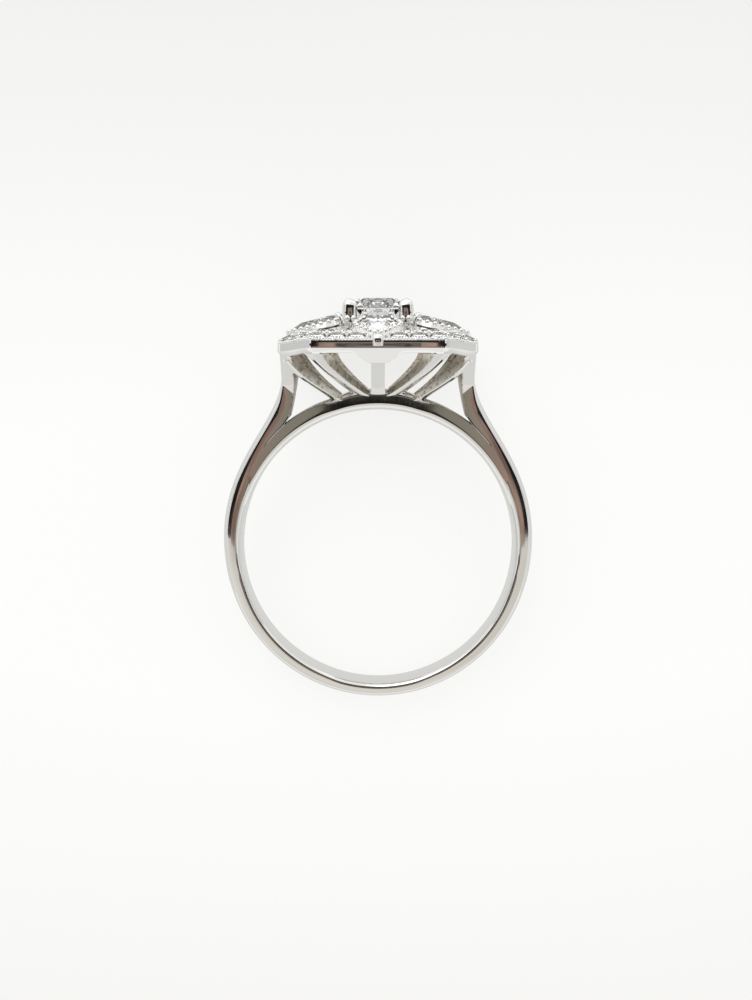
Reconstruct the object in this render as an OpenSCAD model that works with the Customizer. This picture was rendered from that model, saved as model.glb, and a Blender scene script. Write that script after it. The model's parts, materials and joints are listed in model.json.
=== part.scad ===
// Diamond cluster ring, lying on its side as it rests by itself.
// It is drawn upright first, with the finger along Y and the cluster at the top,
// and lie_down() at the end turns the whole ring onto its back rim.

/* [Band] */
// Inside diameter of the finger hole
finger_d = 16.7; // [16.4:0.1:17]
// Width of the band along the finger
band_w = 2.4; // [2:0.1:3]
// Thickness of the band at the back of the hand
band_t = 0.93; // [0.9:0.01:1.2]
// How much higher than the hole's centre the outside of the band is centred
band_lift = 0.17; // [0.1:0.01:0.2]
// How far the outside of the band falls away to its edges
band_crown = 0.6; // [0.4:0.05:0.7]
// Radius of the rounded inner edges
hole_round = 0.28; // [0.1:0.02:0.4]

/* [Shoulders] */
// Angle below the widest point at which a shoulder leaves the band
shoulder_from = 15; // [10:1:20]
// How far the shoulder's outer line keeps to the band before it turns in
shoulder_pull = 7; // [6.5:0.1:7.4]
// Half width of the ring where a shoulder meets the cluster
shoulder_neck = 5.93; // [5.8:0.01:6]
// Height of that neck above the hole's centre
neck_z = 10.5; // [10.3:0.1:10.7]
// Thickness of a shoulder at its neck
shoulder_t = 1; // [0.8:0.05:1.2]

/* [Cluster] */
// Half width of the eight-sided cluster
head_half = 5.95; // [5.7:0.05:6.1]
// Half length of its four long sides
flat_half = 4.1; // [3.9:0.05:4.3]
// Height of the lower edge of the rim's upright face
rim_edge_z = 12.24; // [12.1:0.01:12.4]
// Height of that upright face
rim_face_h = 0.4; // [0.3:0.02:0.5]
// Height of the slanted face below it
rim_skirt_h = 0.35; // [0.25:0.01:0.45]
// How far the slanted face draws in
rim_skirt_in = 0.22; // [0.15:0.01:0.3]
// How much lower the rim is over the shoulders
rim_drop = 0.24; // [0:0.02:0.3]
// Width of the sloping border that holds the outer row of stones
border_w = 1.1; // [1:0.05:1.2]
// Rise of that border
border_rise = 0.44; // [0.35:0.01:0.5]
// Thickness of the plate under the stones
plate_t = 0.6; // [0.5:0.05:0.7]

/* [Stones] */
// Diameter of the centre diamond
centre_d = 3.9; // [3.7:0.05:4]
// Height of its girdle above the hole's centre
centre_z = 14.55; // [14.5:0.01:14.65]
// Width of a petal diamond
petal_w = 2.5; // [2.3:0.05:2.6]
// Distance from the middle of a petal's round end to its tip
petal_tip = 2.25; // [2.1:0.05:2.3]
// Distance of that middle from the cluster's centre
petal_reach = 3.4; // [3.35:0.01:3.45]
// Height of a petal's girdle there
petal_z = 13.58; // [13.5:0.01:13.65]
// Slope of the petals, down towards the rim
petal_tilt = 14; // [10:1:15]
// Diameter of the four corner diamonds
corner_d = 1.5; // [1.3:0.05:1.5]
// Diameter of the stones along the border
border_d = 1; // [0.9:0.02:1]
// Diameter of the stones between the petals
between_d = 0.9; // [0.8:0.02:0.9]
// Gap between every stone and its seat
seat_gap = 0.04; // [0.03:0.01:0.06]

/* [Gallery] */
// Width of a gallery rib
rib_w = 0.8; // [0.5:0.05:0.9]
// Depth of a gallery rib at its foot, from its front edge to its back edge
rib_deep = 1.1; // [0.8:0.05:1.5]
// Diameter of the four claws round the centre diamond
claw_d = 1; // [0.8:0.05:1.05]
// Angle of those claws from the line between the shoulders
claw_angle = 29; // [26:1:32]

/* [Hidden] */
metal = "silver";
stone = "aliceblue";

finger_r = finger_d / 2;
band_r = finger_r + band_t + band_lift;
rim_top_z = rim_edge_z + rim_face_h;
plate_top_z = rim_top_z + border_rise;
corner_half = (head_half + flat_half) / sqrt(2);
border_slope = atan(border_rise / border_w);
arc_steps = 6;
crown_steps = 8;
bend_steps = 16;
seat_fn = 32;
far = 20;

// Shoulders: how deep their line starts in the band and where it turns upright, and the fan
// under the rim, which starts to spread at fan_low_z.
shoulder_sink = 0.03;
shoulder_bend_z = 7.2;
fan_t = 0.7;
fan_inset = 0.05;
fan_low_z = 10;

// Gallery: each rib's foot on the bridge and its top under the rim, seen from above, the
// feet's heights, the ribs' depths at foot and top, and the hanging web.
rib_foot_z = 9.15;
rib_top_z = rim_edge_z + 0.05;
rib_lip = 0.45;
rib_out = head_half - rim_skirt_in - 0.05;
middle_foot = [0, 0.95];
middle_top = [0, rib_out];
corner_foot = [1, 0.95];
corner_top = [flat_half - 0.25, rib_out - 0.25];
side_foot = [2.6, 1];
side_top = [head_half - 0.5, flat_half];
side_foot_z = 8.9;
inner_deep = [rib_deep, rib_deep + 0.25];
side_deep = [rib_deep - 0.2, 0.3];
web_r = 1.45;
web_h = 0.56;
web_t = 0.55;

// Settings: the petals' collars and ledges, the claws and the centre stone's light hole.
collar_wall = 0.24;
collar_h = 0.32;
ledge_share = 0.84;
petal_claw_d = 0.42;
tip_claw_d = 0.6;
tip_claw_h = 0.22;
claw_out = 0.1;
claw_over = 0.06;
light_r = 0.6;

// Brilliant cut: the shares of the stone's radius at each level, and its angles.
table_share = 0.57;
star_share = 0.77;
lower_share = 0.24;
crown_angle = 34.5;
pavilion_angle = 40.75;
girdle_share = 0.03;

function arc(cx, cy, r, from, to, n) =
    [for (i = [0 : n]) let (a = from + (to - from) * i / n) [cx + r * cos(a), cy + r * sin(a)]];
function bezier(p, t) =
    pow(1 - t, 3) * p[0] + 3 * pow(1 - t, 2) * t * p[1] + 3 * (1 - t) * t * t * p[2] + pow(t, 3) * p[3];
function curve(p, n) = [for (i = [0 : n]) bezier(p, i / n)];
// A line down one side, followed by its mirror image back up the other.
function both_sides(side) =
    concat(side, [for (i = [len(side) - 1 : -1 : 0]) [-side[i][0], side[i][1]]]);

// Outline of a pear shape of half width 1, from its round end's centre; ratio is its tip's distance.
function reach(a, ratio) =
    let (b = min(a, 360 - a), touch = acos(1 / ratio)) b < touch ? 1 / cos(b - touch) : 1;
function pear_points(r, ratio) =
    concat([[r * ratio, 0]], arc(0, 0, r, acos(1 / ratio), 360 - acos(1 / ratio), 20));

// The resting pose. The ring lies on the rim's back edge and the band's back edge, so the
// slope is the one that brings both to the same level.
// The band's outside is half an ellipse, band_crown deep; edge() is how far it reaches in a
// direction that leans the given angle from the finger's line.
function edge(a) = norm([band_w / 2 * cos(a), band_crown * sin(a)]);
band_edge_z = finger_r + band_t - band_crown;
function settle(a, n) =
    n == 0 ? a : settle(atan((head_half - edge(a) / cos(a)) / (rim_edge_z + band_edge_z)), n - 1);
lie_angle = settle(12, 6);
lie_lift = head_half * cos(lie_angle) - rim_edge_z * sin(lie_angle);
lie_low = band_edge_z * cos(lie_angle) + edge(lie_angle + 90);
crown_h = centre_d / 2 * (girdle_share + (1 - table_share) * tan(crown_angle));
lie_high = (centre_z + crown_h) * cos(lie_angle) + table_share * centre_d / 2 * sin(lie_angle);

module lie_down() {
    translate([0, (lie_low - lie_high) / 2, lie_lift])
        rotate([lie_angle - 90, 0, 0])
            children();
}

// Turns a profile drawn in X and Z into a slab along Y, the finger's direction.
module along_finger(w) {
    rotate([90, 0, 0])
        linear_extrude(w, center = true)
            children();
}

// A full brilliant: table, 8 stars, 8 kites, 16 upper and 16 lower facets, 8 pavilion mains.
module brilliant(r, ratio = 1) {
    g = girdle_share * r;
    table_z = g + (1 - table_share) * r * tan(crown_angle);
    star_z = g + (1 - star_share * cos(22.5)) * r * tan(crown_angle);
    lower_z = -g - (1 - lower_share * cos(22.5)) * r * tan(pavilion_angle);
    culet_z = -g - r * tan(pavilion_angle);
    function level(share, z, n, turn) =
        [for (k = [0 : n - 1]) let (a = (k + turn) * 360 / n, s = share * r * reach(a, ratio))
            [s * cos(a), s * sin(a), z]];
    points = concat(
        level(table_share, table_z, 8, 0),
        level(star_share, star_z, 8, 0.5),
        level(1, g, 16, 0),
        level(1, -g, 16, 0),
        level(lower_share, lower_z, 8, 0.5),
        [[0, 0, culet_z]]
    );
    faces = concat(
        [[for (k = [7 : -1 : 0]) k]],
        [for (k = [0 : 7]) [k, (k + 1) % 8, 8 + k]],
        [for (k = [0 : 7]) [k, 8 + k, 16 + 2 * k, 8 + (k + 7) % 8]],
        [for (k = [0 : 7]) [8 + k, 17 + 2 * k, 16 + 2 * k]],
        [for (k = [0 : 7]) [8 + k, 16 + (2 * k + 2) % 16, 17 + 2 * k]],
        [for (j = [0 : 15]) [16 + j, 16 + (j + 1) % 16, 32 + (j + 1) % 16, 32 + j]],
        [for (k = [0 : 7]) [48 + k, 32 + 2 * k, 33 + 2 * k]],
        [for (k = [0 : 7]) [48 + k, 33 + 2 * k, 32 + (2 * k + 2) % 16]],
        [for (k = [0 : 7]) [56, 48 + (k + 7) % 8, 32 + 2 * k, 48 + k]]
    );
    polyhedron(points, faces);
}

// A single cut for the small stones: table, 8 crown facets and 8 pavilion facets.
module single_cut(r) {
    g = girdle_share * r;
    table_z = g + (1 - table_share) * r * tan(crown_angle);
    function level(share, z) =
        [for (k = [0 : 7]) [share * r * cos(45 * k), share * r * sin(45 * k), z]];
    points = concat(
        level(table_share, table_z), level(1, g), level(1, -g),
        [[0, 0, -g - r * tan(pavilion_angle)]]
    );
    faces = concat(
        [[for (k = [7 : -1 : 0]) k]],
        [for (k = [0 : 7]) [k, (k + 1) % 8, 8 + (k + 1) % 8, 8 + k]],
        [for (k = [0 : 7]) [8 + k, 8 + (k + 1) % 8, 16 + (k + 1) % 8, 16 + k]],
        [for (k = [0 : 7]) [24, 16 + k, 16 + (k + 1) % 8]]
    );
    polyhedron(points, faces);
}

// The seat of a round stone, turned in one piece: a light hole through the plate, a cone
// round the pavilion and an upright wall round the girdle.
module round_seat(r) {
    wall = r + seat_gap;
    open_r = lower_share * r + seat_gap;
    cone_top = -girdle_share * r;
    cone_low = cone_top - (1 - lower_share) * r * tan(pavilion_angle);
    low = cone_low - 1.5 * plate_t;
    rotate_extrude($fn = seat_fn)
        polygon([[0, low], [open_r, low], [open_r, cone_low], [wall, cone_top], [wall, r], [0, r]]);
}

// Places of the stones seen from above, from the cluster's centre, for one quarter of it.
border_mid = head_half - border_w / 2;
border_spots = [1.25, 2.4, 3.55];
between_spots = [[2.12, 4.12], [4.12, 2.12], [2.02, 2.02]];
corner_spot = 3.02;
girdle_sink = 0.05;
petal_ratio = petal_tip / (petal_w / 2);

module each_petal(k) {
    rotate([0, 0, 90 * k])
        translate([petal_reach, 0, petal_z])
            rotate([0, petal_tilt, 0])
                children();
}
module each_corner(k) {
    rotate([0, 0, 90 * k + 45])
        translate([corner_spot * sqrt(2), 0, plate_top_z - girdle_sink])
            children();
}
module on_border(turn, along, out, drop) {
    rotate([0, 0, turn])
        translate([out, along, rim_top_z + border_rise / 2 - girdle_sink - drop])
            rotate([0, border_slope, 0])
                children();
}
// Draw their children at the place of every small stone, on the border and between the petals.
module at_border_stones() {
    for (k = [0 : 3], s = [-1, 1], x = border_spots)
        on_border(90 * k, s * x, border_mid, k % 2 == 0 ? rim_drop / 2 : 0)
            children();
    for (k = [0 : 3])
        on_border(90 * k + 45, 0, corner_half - border_w / 2, rim_drop / 4)
            children();
}
module at_between_stones() {
    for (k = [0 : 3], p = between_spots)
        rotate([0, 0, 90 * k])
            translate([p[0], p[1], plate_top_z - girdle_sink])
                children();
}

// Band and shoulders

module band_body() {
    w = band_w / 2;
    crown = [for (i = [-crown_steps : crown_steps]) let (a = 90 * i / crown_steps)
        [band_r - band_crown + band_crown * cos(a), w * sin(a)]];
    rotate([90, 0, 0])
        translate([0, band_lift, 0])
            rotate_extrude($fn = 180)
                polygon(concat([[0, -w]], crown, [[0, w]]));
}

module finger_hole() {
    w = band_w / 2;
    c = hole_round;
    rotate([90, 0, 0])
        rotate_extrude($fn = 180)
            polygon(concat(
                [[0, -w - c], [finger_r + c, -w - c]],
                arc(finger_r + c, c - w, c, 270, 180, arc_steps),
                arc(finger_r + c, w - c, c, 180, 90, arc_steps),
                [[finger_r + c, w + c], [0, w + c]]
            ));
}

// Outer line of a shoulder from the band up to the rim, drawn in by a given amount.
shoulder_start = [
    (band_r - shoulder_sink) * cos(shoulder_from),
    band_lift - (band_r - shoulder_sink) * sin(shoulder_from)
];
shoulder_aim = shoulder_start + shoulder_pull * [sin(shoulder_from), cos(shoulder_from)];
function shoulder_line(inset) = curve([
    shoulder_start - [inset, 0], shoulder_aim - [inset, 0],
    [shoulder_neck - inset, shoulder_bend_z], [shoulder_neck - inset, neck_z]
], bend_steps);

// Inner line, from the rim down to the finger hole, which trims its lower end.
shoulder_inside = [
    [shoulder_neck - shoulder_t - 0.3, rim_edge_z - rim_drop],
    [shoulder_neck - shoulder_t, 9.9],
    [shoulder_neck - 0.48, 7.8],
    [finger_r + 0.3, 0],
    [finger_r + 0.1, shoulder_start[1]]
];
module shoulder_profile(inset) {
    rim_end = [head_half - inset, rim_edge_z - rim_drop];
    polygon(concat(shoulder_line(inset), [rim_end], shoulder_inside));
}

// Layers, wider and further in each time, whose corners lie on the same crown as the band's.
crown_layers = [20, 45, 65, 90];
module shoulder() {
    for (a = crown_layers)
        along_finger(band_w * sin(a))
            shoulder_profile(band_crown * (1 - cos(a)));
}

// The shoulder spreads out under the rim's side like a fan.
module fan() {
    top = rim_edge_z - rim_drop - rim_skirt_h / 2;
    side = concat(curve([
        [flat_half - 0.1, top], [3.2, top - 0.4],
        [2.1, fan_low_z + 0.75], [band_w / 2, fan_low_z]
    ], bend_steps / 2), [[band_w / 2, fan_low_z - 0.8]]);
    translate([head_half - fan_inset - fan_t, 0, 0])
        rotate([90, 0, 90])
            linear_extrude(fan_t)
                polygon(both_sides(side));
}

// Cluster

// Cross-section of the cluster's outside: the slanted skirt, the rim's upright face, the
// sloping border and the flat top. drop lowers the rim.
module head_profile(half, drop) {
    polygon(both_sides([
        [half - rim_skirt_in, rim_edge_z - rim_skirt_h - drop],
        [half, rim_edge_z - drop],
        [half, rim_top_z - drop],
        [half - border_w, plate_top_z]
    ]));
}

// Cross-section of the hollow under the plate, which is open below.
module hollow_profile(half, drop) {
    wall = half - rim_skirt_in - plate_t;
    polygon(both_sides([
        [wall, rim_edge_z - rim_skirt_h - drop - 1],
        [wall, rim_top_z - drop - plate_t],
        [half - border_w - plate_t / 2, plate_top_z - plate_t]
    ]));
}

// Eight sides, cut from four long bars with the given turn, half width and drop.
head_bars = [
    [0, head_half, rim_drop], [90, head_half, 0],
    [45, corner_half, rim_drop / 2], [-45, corner_half, rim_drop / 2]
];
module head_block() {
    intersection_for(b = head_bars)
        rotate([0, 0, b[0]])
            along_finger(far)
                head_profile(b[1], b[2]);
}
module head_hollow() {
    intersection_for(b = head_bars)
        rotate([0, 0, b[0]])
            along_finger(far)
                hollow_profile(b[1], b[2]);
}

// An upright web that leans out from a foot on the band to a top under the rim. Both are
// places seen from above. Its edges are curves, flatter at the foot, and deep holds the
// web's depths at the foot and at the top.
module rib(foot, top, foot_z, deep) {
    way = top - foot;
    run = norm(way);
    function web_edge(inset) = curve([
        [-inset[0], foot_z], [0.32 * run - inset[0], foot_z + 0.75],
        [0.7 * run - inset[1], foot_z + 1.5], [run - inset[1], rib_top_z - rib_lip]
    ], bend_steps / 2);
    front = web_edge([0, 0]);
    back = web_edge(deep);
    translate([foot[0], foot[1], 0])
        rotate([0, 0, atan2(way[1], way[0])])
            along_finger(rib_w)
                polygon(concat(
                    front, [[run, rib_top_z], [run - deep[1], rib_top_z]],
                    [for (i = [len(back) - 1 : -1 : 0]) back[i]]
                ));
}

// Five ribs on each side: one in the middle, one towards each corner and one beside each
// shoulder.
module ribs() {
    for (s = [0, 1])
        mirror([0, s, 0]) {
            rib(middle_foot, middle_top, rib_foot_z, inner_deep);
            for (m = [0, 1])
                mirror([m, 0, 0]) {
                    rib(corner_foot, corner_top, rib_foot_z, inner_deep);
                    rib(side_foot, side_top, side_foot_z, side_deep);
                }
        }
}

// Rounded web that hangs from the rim at the top of the middle rib.
module rim_web() {
    low = rim_edge_z - rim_skirt_h - web_h;
    translate([0, head_half - rim_skirt_in - web_t / 2, 0])
        along_finger(web_t)
            intersection() {
                translate([0, low + web_r])
                    circle(web_r, $fn = 64);
                translate([-web_r, low - 0.2])
                    square([2 * web_r, web_h + 0.54]);
            }
}

// The metal under and round a petal, with two small claws at its inner end.
module petal_collar() {
    outer = petal_w / 2 + collar_wall;
    translate([0, 0, -collar_h])
        linear_extrude(collar_h + seat_gap)
            polygon(pear_points(outer, petal_ratio));
    translate([0.2, 0, -0.9])
        linear_extrude(0.9 - collar_h / 2)
            polygon(pear_points(0.8 * outer, petal_ratio));
    for (s = [-1, 1])
        rotate([0, 0, 180 + s * 38])
            translate([petal_w / 2 + 0.08, 0, -0.2])
                claw(petal_claw_d, 0.5);
}
// The collars stay just inside the rim's outer faces.
module petal_collars() {
    side = 2 * head_half - 0.06;
    intersection() {
        union() {
            for (k = [0 : 3])
                each_petal(k)
                    petal_collar();
        }
        translate([-side / 2, -side / 2, rim_edge_z])
            cube([side, side, plate_top_z]);
    }
}
// The claw that holds a petal's tip stands on the rim.
module tip_claw(k) {
    rotate([0, 0, 90 * k])
        translate([head_half - tip_claw_d / 2 - 0.04, 0, rim_edge_z + 0.12 - (k % 2 == 0 ? rim_drop : 0)])
            claw(tip_claw_d, tip_claw_h);
}
// Where a petal sits: a wall round it that reaches down to where the pavilion has drawn
// in to the ledge, and a hole inside the ledge.
module petal_seat() {
    r = petal_w / 2;
    wall_low = -girdle_share * r - (1 - ledge_share) * r * tan(pavilion_angle) - seat_gap;
    translate([0, 0, wall_low])
        linear_extrude(collar_h - wall_low)
            polygon(pear_points(r + seat_gap, petal_ratio));
    translate([0, 0, -1.6])
        linear_extrude(1.7)
            polygon(pear_points(ledge_share * r, petal_ratio));
}

// A claw: a round post with a domed tip that reaches over the stone's edge.
module claw(d, h) {
    cylinder(h = h, d = d, $fn = 24);
    translate([0, 0, h])
        sphere(d = d, $fn = 24);
}

module centre_claws() {
    foot_z = plate_top_z - 0.2;
    for (a = [claw_angle, 180 - claw_angle, 180 + claw_angle, -claw_angle])
        rotate([0, 0, a])
            translate([centre_d / 2 + claw_out, 0, foot_z])
                claw(claw_d, centre_z + claw_over - foot_z);
}
module centre_basket() {
    translate([0, 0, plate_top_z - 0.2])
        cylinder(h = 0.75, r1 = 1.55, r2 = 1.75, $fn = 48);
}
// Clears the centre diamond, with room over the girdle for the star facets' corners.
module centre_clearance() {
    r = centre_d / 2;
    wall = r + seat_gap;
    g = girdle_share * r;
    open_z = centre_z - g - (wall - light_r) * tan(pavilion_angle);
    over = centre_z + g + 2 * seat_gap;
    rotate_extrude($fn = 48)
        polygon([
            [0, plate_top_z - 2], [light_r, plate_top_z - 2], [light_r, open_z],
            [wall, centre_z - g], [wall, over], [0, over + wall * tan(crown_angle)]
        ]);
}

module ring_mount() {
    color(metal)
        difference() {
            union() {
                band_body();
                for (s = [0, 180])
                    rotate([0, 0, s]) {
                        shoulder();
                        fan();
                    }
                difference() {
                    head_block();
                    head_hollow();
                }
                ribs();
                rim_web();
                mirror([0, 1, 0])
                    rim_web();
                centre_basket();
                centre_claws();
                for (k = [0 : 3])
                    tip_claw(k);
                petal_collars();
            }
            finger_hole();
            centre_clearance();
            for (k = [0 : 3]) {
                each_petal(k)
                    petal_seat();
                each_corner(k)
                    round_seat(corner_d / 2);
            }
            at_border_stones()
                round_seat(border_d / 2);
            at_between_stones()
                round_seat(between_d / 2);
        }
}

module centre_diamond() {
    color(stone)
        translate([0, 0, centre_z])
            brilliant(centre_d / 2);
}
module petal_diamond(k) {
    color(stone)
        each_petal(k)
            brilliant(petal_w / 2, petal_ratio);
}
module corner_diamond(k) {
    color(stone)
        each_corner(k)
            brilliant(corner_d / 2);
}
module pave_diamonds() {
    color(stone) {
        at_border_stones()
            single_cut(border_d / 2);
        at_between_stones()
            single_cut(between_d / 2);
    }
}

lie_down() ring_mount();
lie_down() centre_diamond();
for (k = [1 : 4]) {
    lie_down() petal_diamond(k);
    lie_down() corner_diamond(k);
}
lie_down() pave_diamonds();
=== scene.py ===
# %% [markdown]
# A diamond cluster ring in polished white gold. It lies on its side on a pale floor, resting
# on the cluster's rim and on the edge of the band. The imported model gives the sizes, the
# place and the large stones; this notebook works out the goldsmith's metal round them.

# %% Load the frame
import json

import bpy
import numpy as np
from mathutils import Matrix


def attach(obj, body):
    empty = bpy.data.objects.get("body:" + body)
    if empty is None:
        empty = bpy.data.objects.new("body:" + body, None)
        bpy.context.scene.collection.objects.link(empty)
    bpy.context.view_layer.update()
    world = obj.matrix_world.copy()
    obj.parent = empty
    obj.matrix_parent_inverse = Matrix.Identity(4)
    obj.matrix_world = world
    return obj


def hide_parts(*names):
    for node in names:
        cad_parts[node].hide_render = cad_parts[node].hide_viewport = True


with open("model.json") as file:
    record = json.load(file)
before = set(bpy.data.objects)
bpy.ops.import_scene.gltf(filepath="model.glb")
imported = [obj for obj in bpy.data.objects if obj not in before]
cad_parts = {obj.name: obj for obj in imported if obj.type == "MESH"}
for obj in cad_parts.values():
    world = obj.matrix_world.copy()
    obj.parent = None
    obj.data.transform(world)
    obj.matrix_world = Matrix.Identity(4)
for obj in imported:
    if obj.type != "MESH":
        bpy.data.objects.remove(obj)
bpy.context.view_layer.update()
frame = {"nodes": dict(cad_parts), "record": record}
print("nodes", sorted(frame["nodes"]))

# %% [markdown]
# A ring is easiest to describe as it is worn: x to the right, y along the finger and away
# from the viewer, z up towards the cluster, in millimetres from the middle of the finger
# hole. The record says where that hole is and how it leans, so every surface is worked out
# upright and laid down at the very end. The other way, turning finished objects, would
# leave a rotation on them that the export doesn't want.

# %% From the upright ring to the ring on the floor
hole = frame["record"]["mounts"][0]
hole_middle = np.array(hole["pos_m"])
away = -np.array(hole["axis"])
up = np.array([0.0, -away[2], away[1]])
right = np.array([1.0, 0.0, 0.0])
mm = 0.001


def lay_down(points):
    """Upright millimetres to metres on the floor.

    It starts at the hole's middle and adds x to the right, y along the finger and z towards
    the cluster.
    """
    return hole_middle + mm * (
        points[..., :1] * right + points[..., 1:2] * away + points[..., 2:3] * up
    )


print("the finger's line leans", round(float(np.degrees(np.arcsin(away[1]))), 2), "degrees")

# %% [markdown]
# The camera stands where the photograph was taken from: straight in front of the ring, level
# with the cluster and 90 mm away. A tilted camera would make the ring's sides converge, and
# the photograph shows none of that, so a lens shift moves the view down instead.

# %% Camera
frame_wide, frame_high = 752, 1000
camera_place = np.array([0.0, -90.0, 13.22])
focal_pixels = 1454.4
axis_across, axis_down = 378.0, 330.0
sensor = 36.0


def facing(place, ahead, upward):
    """A placement whose -Z looks ahead and whose Y is upward."""
    ahead, upward = ahead / np.linalg.norm(ahead), upward / np.linalg.norm(upward)
    across = np.cross(ahead, upward)
    across /= np.linalg.norm(across)
    rows = np.eye(4)
    rows[:3, :4] = np.stack([across, np.cross(across, ahead), -ahead, place], axis=1)
    return Matrix(rows.tolist())


def show(name, data):
    """Puts a mesh, a light or a camera into the scene as an object."""
    thing = bpy.data.objects.new(name, data)
    bpy.context.scene.collection.objects.link(thing)
    return thing


camera_data = bpy.data.cameras.new("camera")
camera = show("camera", camera_data)
camera_data.sensor_width = sensor
camera_data.lens = focal_pixels * sensor / frame_high
camera_data.shift_x = (frame_wide / 2 - axis_across) / frame_high
camera_data.shift_y = (axis_down - frame_high / 2) / frame_high
camera_data.clip_start, camera_data.clip_end = 0.002, 10.0
camera.matrix_world = facing(lay_down(camera_place), away, up)
bpy.context.scene.camera = camera
print("lens", round(camera_data.lens, 2), "mm, camera at", np.round(lay_down(camera_place), 4))

# %% [markdown]
# Every surface here is a grid of points that a formula fills as one array. These helpers
# turn such grids into meshes: cells with four corners between neighbouring rows, a fan of
# triangles over each open end, and a check that the faces point outwards, by the sign of
# the volume that they enclose. Blender could recalculate the normals itself.

# %% Grids to closed skins


def cells(rows, cols, closed_rows=False):
    """Corner numbers of the cells of a grid whose columns close on themselves, row by row."""
    r, c = np.meshgrid(np.arange(rows if closed_rows else rows - 1), np.arange(cols), indexing="ij")
    below, beside = (r + 1) % rows, (c + 1) % cols
    corners = [r * cols + c, below * cols + c, below * cols + beside, r * cols + beside]
    return np.stack(corners, axis=-1).reshape(-1, 4)


def enclosed(points, faces):
    """Signed volume: a sixth of the sum, over all triangles, of corner a dot (b cross c)."""
    total = 0.0
    for group in faces:
        for k in range(1, group.shape[1] - 1):
            a, b, c = points[group[:, 0]], points[group[:, k]], points[group[:, k + 1]]
            total += np.einsum("ij,ij->", a, np.cross(b, c)) / 6
    return total


def outward(points, faces):
    """The same skin with its faces turned to point out of it."""
    if enclosed(points, faces) < 0:
        faces = [group[:, ::-1] for group in faces]
    return points, faces


def skin(rings):
    """A closed skin over rings of points, rings[i, j].

    Cells lie between neighbouring rings, and a fan to its middle closes either end ring.
    """
    n, m, _ = rings.shape
    j = np.arange(m)
    beside = (j + 1) % m
    points = np.concatenate([rings.reshape(-1, 3), rings[:1].mean(axis=1), rings[-1:].mean(axis=1)])
    last = (n - 1) * m
    first_fan = np.stack([j, beside, np.full(m, n * m)], axis=1)
    last_fan = np.stack([last + beside, last + j, np.full(m, n * m + 1)], axis=1)
    return outward(points, [cells(n, m), first_fan, last_fan])


def hoop(rings):
    """A skin that closes both ways, like a curtain ring."""
    n, m, _ = rings.shape
    return outward(rings.reshape(-1, 3), [cells(n, m, closed_rows=True)])


def joined(shapes):
    """Several skins as one list of points and faces, with the corner numbers moved on."""
    starts = np.cumsum([0] + [len(points) for points, _ in shapes])
    faces = [group + start for (_, groups), start in zip(shapes, starts) for group in groups]
    return np.concatenate([points for points, _ in shapes]), faces


# %% [markdown]
# Each finished piece rides on the ring's one body, takes the material that it is given,
# and stands in for the CAD solid that it covers. Edges sharper than a given angle stay
# crisp and everything else is shaded smooth, as polished metal is.

# %% From a skin to a piece of the ring


def mesh_of(name, shape, crease=32.0, polish_and_shade=None):
    """A mesh from a skin in upright millimetres.

    Edges sharper than crease degrees are kept crisp. The polish values say for each point how far the
    polishing reached it: 1 is polished, 0 is the cast skin, and less is painted shade, a darker
    tone for walls that lie in shadow.
    """
    points, faces = shape
    mesh = bpy.data.meshes.new(name)
    mesh.from_pydata(lay_down(points).tolist(), [], [f for group in faces for f in group.tolist()])
    reached_and_shaded = mesh.attributes.new("polish_and_shade", "FLOAT", "POINT")
    reached_and_shaded.data.foreach_set("value", np.ones(len(points)) if polish_and_shade is None else polish_and_shade)
    mesh.shade_smooth()
    mesh.set_sharp_from_angle(angle=float(np.radians(crease)))
    return mesh


def place(mesh, material, node, slot):
    """Shows the mesh as a piece that rides on the ring and replaces a CAD node."""
    piece = show(mesh.name, mesh)
    mesh.materials.clear()
    mesh.materials.append(material)
    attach(piece, "root")
    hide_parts(node)
    print(mesh.name, len(mesh.polygons), "faces")


# %% [markdown]
# A material is a tree of nodes, and a node is easiest to read when it is made in one go: what
# kind it is, and where each of its inputs comes from. An input takes a number, a colour or
# another node's output. The three kinds used most, a noise, a ramp and a mix, get a short
# helper each. Wiring everything in a list at the end would hide what feeds what.

# %% Making nodes


def feed(tree, inputs, values):
    """Sets inputs by name or number: a wire from a node's output, or a number or colour."""
    for name, value in values.items():
        if isinstance(value, bpy.types.NodeSocket):
            tree.links.new(value, inputs[name])
        else:
            inputs[name].default_value = value


def add_node(tree, kind, place_at, inputs=None, **properties):
    """Adds a node with its properties and its inputs, and gives its outputs."""
    made = tree.nodes.new(kind)
    made.location = place_at
    for name, value in properties.items():
        setattr(made, name, value)
    feed(tree, made.inputs, inputs or {})
    return made.outputs


def noise(tree, place_at, where, scale, detail, rough=0.5):
    """Clouds from 0 to 1 at the points that where gives."""
    values = {"Vector": where, "Scale": scale, "Detail": detail, "Roughness": rough}
    return add_node(tree, "ShaderNodeTexNoise", place_at, values)["Fac"]


def ramp(tree, place_at, value, low=0.0, high=1.0, to_low=0.0, to_high=1.0):
    """to_low up to low, to_high from high on, and a straight line between them."""
    values = {"Value": value, "From Min": low, "From Max": high, "To Min": to_low, "To Max": to_high}
    return add_node(tree, "ShaderNodeMapRange", place_at, values)["Result"]


def mix(tree, place_at, share, a, b, kind="RGBA"):
    """a where the share is 0, and b where it is 1."""
    values = {"Factor": share, "A": a, "B": b}
    return add_node(tree, "ShaderNodeMix", place_at, values, data_type=kind)["Result"]


def maths(tree, place_at, operation, *terms, **properties):
    """One step of arithmetic. MULTIPLY_ADD is the first term times the second, plus the third."""
    properties["operation"] = operation
    return add_node(tree, "ShaderNodeMath", place_at, dict(enumerate(terms)), **properties)["Value"]


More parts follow.
